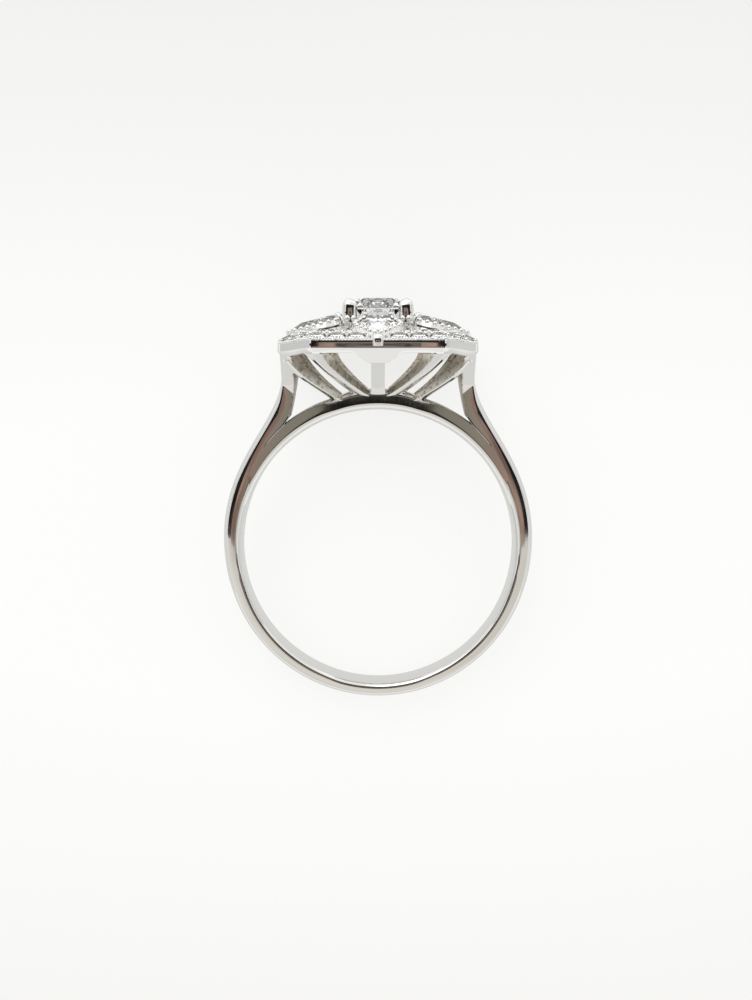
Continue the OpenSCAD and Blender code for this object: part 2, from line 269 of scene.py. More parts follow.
def effect_group(name, inputs, outputs):
    """An empty node group: inputs by name with their first values, outputs by name and kind."""
    group = bpy.data.node_groups.new(name, "ShaderNodeTree")
    for label, value in inputs.items():
        kind = "NodeSocketColor" if np.ndim(value) else "NodeSocketFloat"
        socket = group.interface.new_socket(label, in_out="INPUT", socket_type=kind)
        socket.default_value = value
    for label, kind in outputs.items():
        group.interface.new_socket(label, in_out="OUTPUT", socket_type="NodeSocket" + kind)
    return group


def new_material(name):
    """A material, its node tree, and the inputs of its Principled BSDF."""
    material = bpy.data.materials.new(name)
    material.use_nodes = True
    return material, material.node_tree, material.node_tree.nodes["Principled BSDF"].inputs


# %% [markdown]
# Polished metal looks polished because its reflections are sharp and slightly imperfect: the
# buffing wheel leaves hair-fine lines and a faint waviness. Both are effects that every
# metal piece needs, so they are one node group with its own inputs. The group only puts out
# a roughness and a height; the shader itself stays in the material, where the export reads it.

# %% Polishing marks, shared by the metals and the stones


def polishing_marks():
    """Roughness runs from Least to Most with a soft noise, plus fine stretched lines.

    Height is both together.
    """
    first_values = {"Least": 0.03, "Most": 0.1, "Waves": 700.0, "Lines": 9000.0}
    group = effect_group("polishing_marks", first_values, {"Roughness": "Float", "Height": "Float"})
    start = add_node(group, "NodeGroupInput", (-900, 0))
    where = add_node(group, "ShaderNodeTexCoord", (-900, -250))["Object"]
    stretch = {"Vector": where, "Scale": (1.0, 0.06, 0.4), "Rotation": (0.4, 0.2, 0.7)}
    stretched = add_node(group, "ShaderNodeMapping", (-700, -300), stretch)["Vector"]
    waves = noise(group, (-450, 100), where, start["Waves"], detail=3.0)
    lines = noise(group, (-450, -250), stretched, start["Lines"], detail=2.0, rough=0.7)
    both = maths(group, (-200, 0), "MULTIPLY_ADD", lines, 0.35, waves)
    rough = ramp(group, (100, 150), both, 0.45, 0.9, to_low=start["Least"], to_high=start["Most"])
    add_node(group, "NodeGroupOutput", (500, 0), {"Roughness": rough, "Height": both})
    return group


marks = polishing_marks()
print("group", marks.name, "with", len(marks.nodes), "nodes")

# %% [markdown]
# White gold for jewellery is plated and mirror polished. Under the cluster the wheel can't
# reach, so the metal keeps more of its cast skin: rougher, greyer and a little warm. Each
# mesh says point by point where that is, and one material mixes the two finishes by it. Values
# below the cast skin's paint shade: walls that lie in shadow get a darker tone.
# Two materials with a hard border would look like two metals.

# %% White gold


def cast_skin_and_shade():
    """Goes from the cast skin to the polish as Polish goes from 0 to 1.

    Tone is mixed from Cast and Bright, and Roughness from the skin's and the polished one's. A
    mottled noise moves the border and gives the skin its Height. The deeper mottles turn Cast
    into a dull tone, the skin's own uneven colour. A Polish below 0 turns it into that dark tone
    everywhere, as painted shade for walls that lie in shadow.
    """
    dull_and_shade_tone = (0.36, 0.32, 0.26, 1.0)
    white = (1.0, 1.0, 1.0, 1.0)
    first_values = {"Polish And Shade": 1.0, "Polished Roughness": 0.05, "Cast": white, "Bright": white}
    outputs = {"Tone": "Color", "Roughness": "Float", "Height": "Float"}
    group = effect_group("cast_skin_and_shade", first_values, outputs)
    start = add_node(group, "NodeGroupInput", (-700, 0))
    where = add_node(group, "ShaderNodeTexCoord", (-700, -300))["Object"]
    pits = noise(group, (-450, -300), where, scale=3800.0, detail=4.0, rough=0.65)
    moved = maths(group, (-200, 0), "MULTIPLY_ADD", pits, 0.5, start["Polish And Shade"])
    border = ramp(group, (-20, 0), moved, low=0.4, high=1.1)
    mottles = ramp(group, (-200, 300), pits, low=0.5, high=0.65)
    # Polish below 0 is painted shade: it pushes the tone towards the dark one.
    shade_and_mottles = (start["Polish And Shade"], -1.0, mottles)
    hidden = maths(group, (-100, 450), "MULTIPLY_ADD", *shade_and_mottles, use_clamp=True)
    skin_tone = mix(group, (0, 300), hidden, start["Cast"], dull_and_shade_tone)
    skin_rough = ramp(group, (0, -300), pits, to_low=0.25, to_high=0.5)
    rest = maths(group, (100, -400), "SUBTRACT", 1.0, border)
    add_node(group, "NodeGroupOutput", (500, 0), {
        "Tone": mix(group, (200, 150), border, skin_tone, start["Bright"]),
        "Roughness": mix(group, (200, -50), border, skin_rough, start["Polished Roughness"], "FLOAT"),
        "Height": maths(group, (250, -300), "MULTIPLY", rest, pits),
    })
    return group


def white_gold():
    """Polished white gold whose hidden parts keep their cast skin."""
    material, tree, shader = new_material("white_gold")
    reached_and_shaded = add_node(tree, "ShaderNodeAttribute", (-900, 150), attribute_name="polish_and_shade")["Fac"]
    wear = {"Least": 0.03, "Most": 0.09}
    effect = add_node(tree, "ShaderNodeGroup", (-900, -100), wear, node_tree=marks)
    skins = {
        "Polish And Shade": reached_and_shaded, "Polished Roughness": effect["Roughness"],
        "Cast": (0.86, 0.82, 0.75, 1.0), "Bright": (0.90, 0.895, 0.88, 1.0),
    }
    finish = add_node(tree, "ShaderNodeGroup", (-650, 50), skins, node_tree=cast_skin_and_shade())
    hair_lines = {"Strength": 0.4, "Distance": 1e-7, "Height": effect["Height"]}
    lines = add_node(tree, "ShaderNodeBump", (-420, -250), hair_lines)["Normal"]
    cast_pits = {"Strength": 0.5, "Distance": 8e-6, "Height": finish["Height"], "Normal": lines}
    feed(tree, shader, {
        "Metallic": 1.0, "Base Color": finish["Tone"], "Roughness": finish["Roughness"],
        "Normal": add_node(tree, "ShaderNodeBump", (-220, -250), cast_pits)["Normal"],
    })
    return material


mirror_gold = white_gold()


def solder(name, shape, crease=32.0, polish_and_shade=None):
    """Makes a skin a piece of the mount, which is one solid of white gold in the CAD."""
    place(mesh_of(name, shape, crease, polish_and_shade), mirror_gold, "ring_mount", "white_gold")


# %% [markdown]
# A diamond is clear and bends light more than anything else in the scene, index 2.42. Its
# sparkle is nothing but flat facets, so no pattern is painted on it: only a breath of
# polishing marks breaks up the reflections.

# %% Diamond


def clear_diamond():
    """Colourless glass with a diamond's index and a trace of polishing marks."""
    material, tree, shader = new_material("clear_diamond")
    trace = {"Least": 0.0, "Most": 0.02}
    effect = add_node(tree, "ShaderNodeGroup", (-400, 0), trace, node_tree=marks)
    feed(tree, shader, {
        "Base Color": (0.985, 0.99, 1.0, 1.0), "Transmission Weight": 1.0, "IOR": 2.417,
        "Roughness": effect["Roughness"],
    })
    return material


diamond = clear_diamond()
for name, cad_object in frame["nodes"].items():
    if name != "ring_mount":
        cad_object.data.materials.clear()
        cad_object.data.materials.append(diamond)
print("stones in diamond", len(frame["nodes"]) - 1)

# %% [markdown]
# The band and its two shoulders are one strap of metal bent round the finger. A strap here
# is the metal between an outer line and an inner line: its section is half an ellipse on
# the outside, straight flanks, and two small rounded corners inside. Sweeping a fixed curve
# profile would not do, because the shoulders grow thicker and then fan out.

# %% A strap between two lines
finger_r = hole["dims"]["r_mm"]
band_lift, band_r, band_half = 0.17, 9.45, 1.2
crown_deep, hole_round = 0.3, 0.34
along = np.array([0.0, 1.0, 0.0])
arc_points, flank_points, corner_points = 25, 6, 7
columns = arc_points + 2 * (flank_points + corner_points)
column = np.arange(columns)


def strap(outer, inner, side, half_width, crown, edge, fall_out=0.0, fall_in=0.0):
    """Rings of a strap between an outer and an inner line.

    In from the outer line it is crown times (1 - cos a), and across it half_width times sin a,
    for a from -90 to 90 degrees. At the inner line each corner is a quarter circle of radius
    edge. With q from -1 to 1 over a flank, its outer half falls back by fall_out times half
    the flank's depth times q^2, and its inner half by fall_in times the same; beyond the
    flank q^2 goes on as 2|q| - 1.
    """
    span = np.linalg.norm(inner - outer, axis=1, keepdims=True)
    way = (inner - outer) / span
    a = np.radians(np.linspace(-90, 90, arc_points))
    b = np.radians(np.linspace(0, 90, corner_points))
    given = (half_width, crown, edge, fall_out, fall_in)
    w, c, e, fo, fi = (np.broadcast_to(value, len(outer))[:, None] for value in given)
    flank = c + (span - e - c) * np.linspace(0, 1, flank_points + 2)[1:-1]
    deep = np.hstack([
        c * (1 - np.cos(a)), flank, span - e + e * np.sin(b),
        span - e + e * np.sin(b[::-1]), flank[:, ::-1],
    ])
    corner = w - e + e * np.cos(b)
    straight = np.broadcast_to(w, flank.shape)
    across = np.hstack([w * np.sin(a), straight, corner, -corner[:, ::-1], -straight])
    half_deep = (span - c) / 2
    q = (deep - c - half_deep) / half_deep
    fall = np.where(q < 0, fo, fi) * np.where(np.abs(q) < 1, q**2, 2 * np.abs(q) - 1)
    across = across * (1 - fall * half_deep / w)
    side = np.broadcast_to(side, outer.shape)
    return outer[:, None] + deep[..., None] * way[:, None] + across[..., None] * side[:, None]


def on_crown(margin):
    """Which columns of a strap lie on its rounded outside, but for a margin at either edge."""
    return (column >= margin) & (column < arc_points - margin)


def bezier(corners, t):
    """A cubic curve: (1-t)^3 A + 3(1-t)^2 t B + 3(1-t) t^2 C + t^3 D."""
    a, b, c, d = (np.array(corner)[None] for corner in corners)
    t = np.asarray(t)[:, None]
    return (1 - t) ** 3 * a + 3 * (1 - t) ** 2 * t * b + 3 * (1 - t) * t**2 * c + t**3 * d


def smooth(t):
    """0 below 0, 1 above 1, and 3t^2 - 2t^3 between."""
    t = np.clip(t, 0, 1)
    return t * t * (3 - 2 * t)


def upright(flat, y=0.0):
    """Points given as x and z, put at one y."""
    return np.column_stack([flat[:, 0], np.full(len(flat), y), flat[:, 1]])


# %% [markdown]
# The outer line follows the band's circle from the bottom to 15 degrees below the widest
# point, leaves it on a long curve, and draws in to the neck under the cluster. The inner
# line keeps to the finger hole, crosses the bridge's metal unseen, and then runs up the
# outer side of the three-cornered window. Near the top the strap spreads into a fan.

# %% The shoulders' two lines
head_half, flat_half = 5.95, 4.1
leave, pull, neck_x, neck_z = np.radians(15), 7.0, 5.93, 10.5
leaves = np.array([(band_r - 0.03) * np.cos(leave), band_lift - (band_r - 0.03) * np.sin(leave)])
aim = leaves + pull * np.array([np.sin(leave), np.cos(leave)])
window_corner = np.array([5.42, 7.9])
top_z = 12.35

curve = bezier([leaves, aim, (neck_x, 7.2), (neck_x, neck_z)], np.linspace(0, 1, 600))
curve = np.vstack([curve, [[head_half - 0.04, 11.9], [head_half - 0.04, top_z]]])


def shoulder_x(z):
    """How far out the outer line is at a height.

    It is the further out of the band's circle and the shoulder's curve, with the step between
    them smoothed: half of a + b + the root of (a - b)^2 and a little.
    """
    on_curve = np.interp(z, curve[:, 1], curve[:, 0])
    on_band = np.sqrt(np.maximum(band_r**2 - (z - band_lift) ** 2, 0.01))
    return (on_curve + on_band + np.sqrt((on_curve - on_band) ** 2 + 0.003)) / 2


around = np.radians(np.linspace(-90, -15, 70, endpoint=False))
low = np.column_stack([band_r * np.cos(around), band_lift + band_r * np.sin(around)])
z_fork, z_window = 3.6, 8.5
rise = [np.linspace(leaves[1], z_fork, 45, endpoint=False)]
rise += [np.linspace(z_fork, z_window, 50, endpoint=False), np.linspace(z_window, top_z, 70)]
middle, forked, free = (np.column_stack([shoulder_x(z), z]) for z in rise)

turned = np.arctan2(*np.vstack([low, middle]).T[::-1])
on_hole = finger_r * np.column_stack([np.cos(turned), np.sin(turned)])
u = np.linspace(0, 1, len(forked))
corner_turn, corner_r = np.arctan2(*window_corner[::-1]), np.linalg.norm(window_corner)
turned = turned[-1] + (corner_turn - turned[-1]) * u
radius = finger_r + (corner_r - finger_r) * u**1.6
crossing = radius[:, None] * np.column_stack([np.cos(turned), np.sin(turned)])
window_line = [window_corner, (5.15, 9.0), (4.85, 10.3), (5.2, top_z)]
up_window = bezier(window_line, np.linspace(0, 1, len(free)))

outer = np.vstack([low, middle, forked, free])
inner = np.vstack([on_hole, crossing, up_window])
print("widest across the shoulders", round(2 * float(outer[:, 0].max()), 2), "mm")

# %% [markdown]
# Along those lines the strap changes its section. It spreads into the fan, its crown flattens
# towards the neck, and its inner edge is well rounded round the finger. Where the bridge joins
# it, the edge is never rounder than the bridge's metal covers, so that no groove opens between
# the two. The real ring is one casting there; one mesh for both would need a branching grid.

# %% Width, crown and edges along the band
outer_z = outer[:, 1]
fan_low = 10.0
fan_line = [(band_half, fan_low), (2.1, fan_low + 0.75), (3.2, 11.42), (flat_half - 0.1, 11.82)]
fan = bezier(fan_line, np.linspace(0, 1, 200))
# Above the fork the shoulders stand a hair proud of the band, so that no two faces coincide.
proud, proud_over = 0.003, 1.5
half_width = np.interp(outer_z, fan[:, 1], fan[:, 0])
half_width += proud * smooth((outer_z - z_fork + proud_over) / proud_over)
neck_crown, flatter_from, flatter_over = 0.12, 8.6, 2.4
crown = crown_deep - (crown_deep - neck_crown) * smooth((outer_z - flatter_from) / flatter_over)
beyond_hole = np.linalg.norm(inner, axis=1) - finger_r
# 1 on the lower sides of the band, and 0 above its widest point and at the bottom.
low_side = smooth((-0.8 - outer_z) / 1.5) * smooth((outer[:, 0] - 2.2) / 2)
end_turn, full_turn = 20.0, 54.0
thinned, thin_from, thin_over, sunk, sink_power = 0.16, 8, 12, 0.6, 1.3


def bridge_r(from_top):
    """Radius of the bridge's outer line at an angle from the top, and its share of the way out.

    The bridge thins beside the ribs, and sinks into the shoulders towards its ends.
    """
    to_end = np.clip((from_top - (90 - full_turn)) / (full_turn - end_turn), 0, 1)
    beside_ribs = smooth((from_top - thin_from) / thin_over)
    return band_r - thinned * beside_ribs * (1 - to_end) - sunk * to_end**sink_power, to_end


inner_from_top = np.degrees(np.arctan2(inner[:, 0], np.maximum(inner[:, 1], 0)))
bridge_out = bridge_r(inner_from_top)[0] + band_lift * np.cos(np.radians(inner_from_top))
covered = bridge_out - finger_r - beyond_hole
above_fork = beyond_hole > 0.001
cover, least_round, low_sharper = 0.03, 0.02, 0.14
edge_above = np.clip(covered - cover, least_round, hole_round)
edge = np.where(above_fork, edge_above, hole_round - low_sharper * low_side)
flank_fall, low_fall, outer_fall = 0.13, 0.17, 0.05
fall_out = outer_fall * smooth((fan_low + 0.1 - outer_z) / 1.5)
fall_in = low_fall * low_side + flank_fall * (1 - smooth(beyond_hole / hole_round))
print("half width from", round(float(half_width.min()), 2), "to", round(float(half_width.max()), 2), "mm")

# %% [markdown]
# The ring is the same on the left and on the right, so each line is worked out for the right
# half and mirrored. The two halves are joined before the skin is made: a mirror modifier
# would leave a seam at the bottom of the band, where the polish shows every break.

# %% Band and shoulders


def mirrored(values):
    """A half line from the bottom up, with its mirror image before it; the shared bottom point once."""
    flip = values * np.array([-1.0, 1.0]) if values.ndim == 2 else values
    return np.concatenate([flip[:0:-1], values])


shank = skin(strap(
    upright(mirrored(outer)), upright(mirrored(inner)), along,
    mirrored(half_width), mirrored(crown), mirrored(edge), mirrored(fall_out), mirrored(fall_in),
))
rounded_inside = (column >= arc_points + flank_points) & (column < columns - flank_points)
from_bottom = np.abs(np.arange(2 * len(outer) - 1) - (len(outer) - 1))
in_window = from_bottom >= len(outer) - len(free)
# The window's inner walls get painted shade: a dark metal tone for the shadow inside the window.
window_wall_shade = -0.7
wheel_and_shade = np.where(rounded_inside[None, :] & in_window[:, None], window_wall_shade, 1.0).ravel()
solder("band_and_shoulders", shank, polish_and_shade=np.append(wheel_and_shade, [0, 0]))

# %% [markdown]
# The bridge closes the finger hole under the cluster. It is the same strap again, on the
# band's own circle, with both ends run into the shoulders. Its flanks stand a hair proud and
# sink gently at the ends, because mirror polish shows a steep end as a notch.

# %% Bridge
turned = np.radians(np.linspace(end_turn, 180 - end_turn, 141))
from_top = np.abs(np.degrees(turned) - 90)
lift = np.array([0.0, band_lift])
top_r, to_end = bridge_r(from_top)
on_circle = np.column_stack([np.cos(turned), np.sin(turned)])
bridge_top = lift + top_r[:, None] * on_circle
bridge_low = (finger_r + proud) * on_circle
mid_to, mid_fade = 24, 8
mid = smooth((mid_to - from_top) / mid_fade)
flush, sink, sink_from = 0.007, 0.03, 0.75
bridge_half = band_half + flush - sink * smooth((to_end - sink_from) / (1 - sink_from))
side_crown, crown_rise = 0.06, 0.24
bridge_fall = flank_fall - 0.03 * to_end + 0.1 * smooth((to_end - 0.6) / 0.3)
bridge = skin(strap(
    upright(bridge_top), upright(bridge_low), along, bridge_half,
    side_crown + crown_rise * mid, hole_round, fall_in=bridge_fall,
))
beside_mid = np.repeat(1 - mid, columns)
# Away from the middle the bridge's crown goes from polished to cast skin and on below it, into painted
# shade: a darker tone under the gallery.
skin_and_shade_depth = 1.5 * beside_mid * np.tile(on_crown(2), len(turned))
solder("bridge", bridge, polish_and_shade=np.append(1.0 - skin_and_shade_depth, [0, 0]))

# %% [markdown]
# The gallery carries the cluster on ten open ribs, five on each side: one in the middle, one
# towards each corner of the cluster and one beside each shoulder. A rib is an upright web,
# so it is a strap too, between a front line and a back line. Both are curves, flatter at
# the foot, and the web grows wider where it runs into the bridge and into the rim, as a
# cast joint does. The front edges are polished; the webs' sides keep their cast skin.

# %% Ribs
rim_edge_z, rim_face_h, rim_skirt_h, rim_skirt_in, rim_drop = 12.24, 0.4, 0.35, 0.22, 0.24
rib_high, rib_lip, rib_crown, rib_edge = rim_edge_z + 0.05, 0.45, 0.1, 0.12
top_fade, foot_fade = 0.08, 0.12
rib_out = head_half - rim_skirt_in - 0.05
up_z = np.array([0.0, 0.0, 1.0])
t = np.linspace(0, 1, 48)


def rib(flip, foot, top, foot_z, low_deep, high_deep, foot_swell, top_swell, half_wide, front_lip):
    """A web from a foot on the bridge to a top under the rim, both seen from above.

    flip mirrors both places. The front line is a curve from foot_z to rib_high less front_lip,
    and the back line is such a curve to rib_high less rib_lip, low_deep further in at the foot
    and high_deep at the top. Half the width is half_wide, plus a swell at either end times e
    to the minus u, where u is the share of the way from that end over its fade.
    """
    foot, top = flip * np.array(foot), flip * np.array(top)
    run = np.linalg.norm(top - foot)
    way = np.append((top - foot) / run, 0.0)
    side = np.array([-way[1], way[0], 0.0])

    def line(low, high, lip):
        flat = bezier([
            (-low, foot_z), (0.32 * run - low, foot_z + 0.75),
            (0.7 * run - high, foot_z + 1.5 - (lip - rib_lip) / 2), (run - high, rib_high - lip),
        ], t)
        flat = np.vstack([flat, [[run - high, rib_high]]])
        return np.append(foot, 0.0) + flat[:, :1] * way + flat[:, 1:] * up_z

    u = np.append(t, 1.0)
    half = half_wide + top_swell * np.exp(-(1 - u) / top_fade) + foot_swell * np.exp(-u / foot_fade)
    front_line, back_line = line(0, 0, front_lip), line(low_deep, high_deep, rib_lip)
    return skin(strap(front_line, back_line, side, half, rib_crown, rib_edge))


middle_rib = dict(
    foot=(0, 0.95), top=(0, rib_out - 0.22), foot_z=9.15, low_deep=1.1, high_deep=1.15,
    foot_swell=0.12, top_swell=0.03, half_wide=0.4, front_lip=rib_lip,
)
corner_rib = dict(
    foot=(1.0, 0.95), top=(flat_half - 0.25, rib_out - 0.25), foot_z=9.15, low_deep=1.1,
    high_deep=1.35, foot_swell=0.15, top_swell=0.25, half_wide=0.4, front_lip=rib_lip,
)
shoulder_rib = dict(
    foot=(2.6, 1.0), top=(head_half - 0.38, flat_half - 0.5), foot_z=8.9, low_deep=0.9,
    high_deep=0.95, foot_swell=0.2, top_swell=0.0, half_wide=0.26, front_lip=0.95,
)
ribs = []
for s in (-1, 1):
    ribs.append(rib(np.array([1, s]), **middle_rib))
    for m in (-1, 1):
        ribs += [rib(np.array([m, s]), **kind) for kind in (corner_rib, shoulder_rib)]
per_rib = np.append(np.tile(on_crown(1), len(t) + 1), [False, False])
solder("gallery_ribs", joined(ribs), polish_and_shade=np.tile(per_rib, len(ribs)))

# %% [markdown]
# The cluster's plate has eight sides. Its outline is worked out side by side: each corner is
# where two neighbouring sides meet, drawn in by an inset, and softened by a small arc. A
# polygon that is only scaled would not keep its border evenly wide, and this one does.

# %% Eight-sided outline
corner_half = (head_half + flat_half) / np.sqrt(2)
eighth = np.radians(45)
side_angle = eighth * np.arange(8)
side_reach = np.where(np.arange(8) % 2 == 0, head_half, corner_half)
corner_rounding, per_side, per_corner = 0.6, 60, 12
bend_steps = 5


def outline(inset):
    """The outline drawn in by each inset: rows of points round it.

    A side keeps its distance from the middle less the inset; a corner is the crossing of two
    sides, rounded by an arc.
    """
    inset = np.atleast_1d(inset)[:, None]
    ahead = np.stack([np.cos(side_angle), np.sin(side_angle)], axis=-1)
    left = np.stack([-np.sin(side_angle), np.cos(side_angle)], axis=-1)
    here, beyond = side_reach - inset, np.roll(side_reach, -1) - inset
    corner = here[..., None] * ahead
    corner = corner + ((beyond - here * np.cos(eighth)) / np.sin(eighth))[..., None] * left
    between = side_angle + eighth / 2
    toward_corner = np.stack([np.cos(between), np.sin(between)], -1)
    arc_mid = corner - corner_rounding / np.cos(eighth / 2) * toward_corner
    a = side_angle[:, None] + np.linspace(0, eighth, per_corner + 1)
    arcs = arc_mid[:, :, None] + corner_rounding * np.stack([np.cos(a), np.sin(a)], -1)
    f = np.linspace(0, 1, per_side + 2)[1:-1, None]
    start, stop = arcs[:, :, -1:, :], np.roll(arcs, -1, axis=1)[:, :, :1, :]
    sides = start + (stop - start) * f
    return np.concatenate([arcs, sides], axis=2).reshape(len(inset), -1, 2)


def rounded(corners, radius):
    """A profile with its inner corners softened.

    Each is a curve (1-t)^2 A + 2t(1-t) C + t^2 B between two points radius away from it.
    """
    corners = np.array(corners)
    middle_ones = corners[1:-1]
    reach = np.broadcast_to(radius, len(middle_ones))[:, None]

    def toward(other):
        way = other - middle_ones
        return middle_ones + reach * (way / np.linalg.norm(way, axis=1, keepdims=True))

    before, after = toward(corners[:-2]), toward(corners[2:])
    s = np.linspace(0, 1, bend_steps)[:, None, None]
    arcs = (1 - s) ** 2 * before + 2 * s * (1 - s) * middle_ones + s**2 * after
    return np.vstack([corners[:1], arcs.transpose(1, 0, 2).reshape(-1, corners.shape[1]), corners[-1:]])


# %% [markdown]
# One profile, from the flat top over the sloping border, down the rim's face and skirt and
# back under the plate, is carried round that outline. The rim hangs a little lower over the
# shoulders, and its skirt dips where a rib runs into it, so each point of the profile also
# says how far it follows the one and the other. A plain eight-sided block would have neither.

# %% Plate and rim
rim_top_z = rim_edge_z + rim_face_h
border_w, border_rise, plate_t = 1.1, 0.44, 0.6
plate_z = rim_top_z + border_rise
skirt_z = rim_edge_z - rim_skirt_h
wall_in = rim_skirt_in + plate_t
plate_crease = 28.0
bow_in, tongue_low, tongue_half, tongue_fade, tongue_in = 0.016, 0.6, 1.6, 1.2, 0.4
rib_dip, rib_dip_x, rib_dip_half = 0.08, 3.8, 0.9

# Inset, height, share of the drop over the shoulders, and share of the skirt's dips.
section = rounded([
    (1.6, plate_z, 0, 0), (border_w, plate_z, 0, 0), (0.08, rim_top_z + 0.06, 1, 0),
    (0.02, rim_top_z + 0.02, 1, 0), (0.006, rim_top_z - 0.08, 1, 0), (0.0, rim_top_z - 0.16, 1, 0),
    (0.0, rim_edge_z - 0.06, 1, 0), (rim_skirt_in, skirt_z, 1, 1),
    (wall_in, skirt_z, 1, 1), (wall_in, skirt_z + 0.2, 1, 0),
    (border_w + plate_t / 2, plate_z - plate_t, 0, 0), (1.9, plate_z - plate_t, 0, 0),
], [0.06, 0.03, 0.03, 0.04, 0.04, 0.04, 0.08, 0.08, 0.05, 0.1])
edge_line = outline(0.0)[0]
turned = np.degrees(np.arctan2(np.abs(edge_line[:, 1]), np.abs(edge_line[:, 0])))
first_turn = np.degrees(np.arctan2(flat_half, head_half))
beyond = (turned - first_turn) / (90 - 2 * first_turn)
bow = 1 - bow_in * np.where(beyond < 1, smooth(beyond), ((90 - turned) / first_turn) ** 4)
drop = rim_drop * (1 - smooth(beyond))
front = np.abs(edge_line[:, 1]) > head_half - 0.01
x = np.abs(edge_line[:, 0])
tongue = tongue_low * smooth((tongue_half - x) / tongue_fade)
dips = front * (tongue + rib_dip * smooth(1 - np.abs(x - rib_dip_x) / rib_dip_half))
height = section[:, 1:2] - section[:, 2:3] * drop - section[:, 3:4] * dips
flat = outline(section[:, 0]) * bow[:, None]
flat[..., 1] -= np.sign(flat[..., 1]) * tongue_in * section[:, 3:4] * dips
plate = skin(np.concatenate([flat, height[..., None]], axis=2))
outside_points = 1 + 8 * bend_steps
outside = np.repeat(np.arange(len(section)) < outside_points, len(edge_line))
wheel_and_shade = np.append(outside, [1, 0]).astype(float)
plate_mesh = mesh_of("plate_and_rim", plate, crease=plate_crease, polish_and_shade=wheel_and_shade)
print("rim is", 2 * head_half, "mm across,", len(section), "points in its profile")

# %% [markdown]
# The stones' places repeat the CAD's, from the same few numbers: along the sloping border, at
# the corners, between the petals, and the four petals themselves. Each place is a point and
# a turn, so whatever belongs to a stone is made once at the origin and moved there.

# %% Stone places
petal_w, petal_tip, petal_reach, petal_z, petal_tilt = 2.5, 2.25, 3.4, 13.58, np.radians(14)
corner_d, border_d, between_d = 1.5, 1.0, 0.9
seat_gap, girdle_sink = 0.04, 0.05
border_slope = np.arctan(border_rise / border_w)
border_mid, corner_reach = border_w / 2, 3.02 * np.sqrt(2)
along_side = (-3.55, -2.4, -1.25, 1.25, 2.4, 3.55)
between_petals = ((2.12, 4.12), (4.12, 2.12), (2.02, 2.02))


def turning(angle, axis):
    """A turn by angle about axis 2 (up) or 1 (along the finger), as a 3 by 3 matrix."""
    c, s = np.cos(angle), np.sin(angle)
    if axis == 2:
        return np.array([[c, -s, 0], [s, c, 0], [0, 0, 1]])
    return np.array([[c, 0, s], [0, 1, 0], [-s, 0, c]])


def seat(turn, out, sideways, z, slope=0.0):
    """Place and turn of a stone.

    It is out and sideways from the middle in a direction, and leans outwards by slope.
    """
    around_up = turning(turn, 2)
    return around_up @ np.array([out, sideways, z]), around_up @ turning(slope, 1)


border_z = rim_top_z + border_rise / 2 - girdle_sink
border_seats, between_seats, corner_seats, petal_seats = [], [], [], []
for k in range(4):
    quarter = np.radians(90 * k)
    drop_here = rim_drop / 2 if k % 2 == 0 else 0.0
    for sideways in along_side:
        place_here = head_half - border_mid, sideways, border_z - drop_here
        border_seats.append(seat(quarter, *place_here, border_slope))
    place_here = corner_half - border_mid, 0.0, border_z - rim_drop / 4
    border_seats.append(seat(quarter + eighth, *place_here, border_slope))
    for out, sideways in between_petals:
        between_seats.append(seat(quarter, out, sideways, plate_z - girdle_sink))
    corner_seats.append(seat(quarter + eighth, corner_reach, 0.0, plate_z - girdle_sink))
    petal_seats.append(seat(quarter, petal_reach, 0.0, petal_z, petal_tilt))
print(len(border_seats), "border,", len(between_seats), "between,", len(corner_seats), "corner stones")

# %% [markdown]
# Round stones are turned shapes, a profile spun about the stone's axis. A pear is a round end
# with two straight sides that meet in a tip. One function gives the distance of that outline
# in each direction, and a profile times that distance is a pear-shaped skin.

# %% Round and pear-shaped rings
pavilion, crown_slope = np.radians(40.75), np.radians(34.5)
lower_share, girdle_share, table_share, star_share = 0.24, 0.03, 0.57, 0.77
petal_r = petal_w / 2


def rings_at(reach, turns, z):
    """Rings of points from each one's distance, direction and height about the z axis."""
    z = np.broadcast_to(z, reach.shape)
    return np.stack([reach * np.cos(turns), reach * np.sin(turns), z], -1)


def turned_rings(profile, segments):
    """A profile of radius and height spun round the z axis: rings of points."""
    a = np.linspace(0, 2 * np.pi, segments, endpoint=False)
    profile = np.array(profile)
    return rings_at(profile[:, :1] * np.ones(segments), a, profile[:, 1:])


def put(points, where):
    """Points from a stone's own frame to the ring's."""
    middle_point, turn_there = where
    return points @ turn_there.T + middle_point


touch = np.arccos(petal_r / petal_tip)
round_end = np.linspace(touch, 2 * np.pi - touch, 49)
one_side = np.linspace(0, touch, 9)[:-1]
other_side = np.linspace(2 * np.pi - touch, 2 * np.pi, 9)[1:-1]
pear_turns = np.concatenate([one_side, round_end, other_side])


def pear(turns):
    """Distance of a pear outline of half width 1 in each direction.

    It is 1 round the end, and 1 / cos(angle from the point where a side touches the round
    end) along the two straight sides to the tip.
    """
    near = np.minimum(turns, 2 * np.pi - turns)
    return np.where(near < touch, 1 / np.cos(near - touch), 1.0)


def pear_rings(profile):
    """A profile of reach and height carried round the pear outline.

    A larger reach is the same outline grown evenly, with the tip cut back so that it grows no
    more than the sides.
    """
    profile = np.array(profile)
    reach = np.minimum(profile[:, :1] * pear(pear_turns), petal_tip + profile[:, :1] - petal_r)
    return rings_at(reach, pear_turns, profile[:, 1:])


print("a pear's sides leave its round end", round(float(np.degrees(touch))), "degrees from the tip")

# %% [markdown]
# Where each stone sits, the plate is drilled: an upright wall for the girdle, a cone for the
# pavilion and a light hole below. Drilling is what a boolean modifier does, with all the
# drills joined into one cutter. Its result is read back as a plain mesh.

